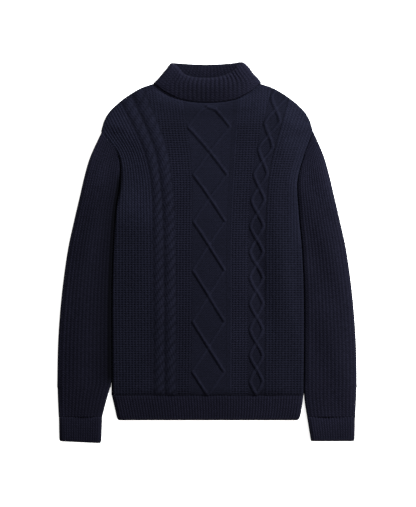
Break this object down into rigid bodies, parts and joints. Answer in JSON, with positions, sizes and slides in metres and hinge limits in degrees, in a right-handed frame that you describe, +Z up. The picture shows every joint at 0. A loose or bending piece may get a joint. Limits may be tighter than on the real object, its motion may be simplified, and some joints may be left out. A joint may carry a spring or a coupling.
{
  "type": "cable knit roll neck sweater",
  "caption": "Ribbed roll neck sweater laid flat, front up, with rope cables, large diamonds and a lattice raised on the front.",
  "frame": {"origin": "middle of the outline where the sweater rests, on the surface it lies on", "axes": "+X to the picture's right, the wearer's left; +Y from the hem to the collar; +Z up, out of the front"},
  "size_m": [0.615, 0.777, 0.014],
  "materials": {
    "body_wool": "matt navy wool, cabled and ribbed knit",
    "sleeve_wool": "matt navy wool, lengthwise rib",
    "rib_wool": "matt navy wool, fine rib",
    "collar_wool": "matt navy wool, broad rib"
  },
  "bodies": {
    "root": {"back": "body_wool", "front": "body_wool", "hem_band": "rib_wool", "sleeve_left": "sleeve_wool", "sleeve_right": "sleeve_wool", "cuff_left": "rib_wool", "cuff_right": "rib_wool", "collar": "collar_wool"}
  },
  "joints": []
}
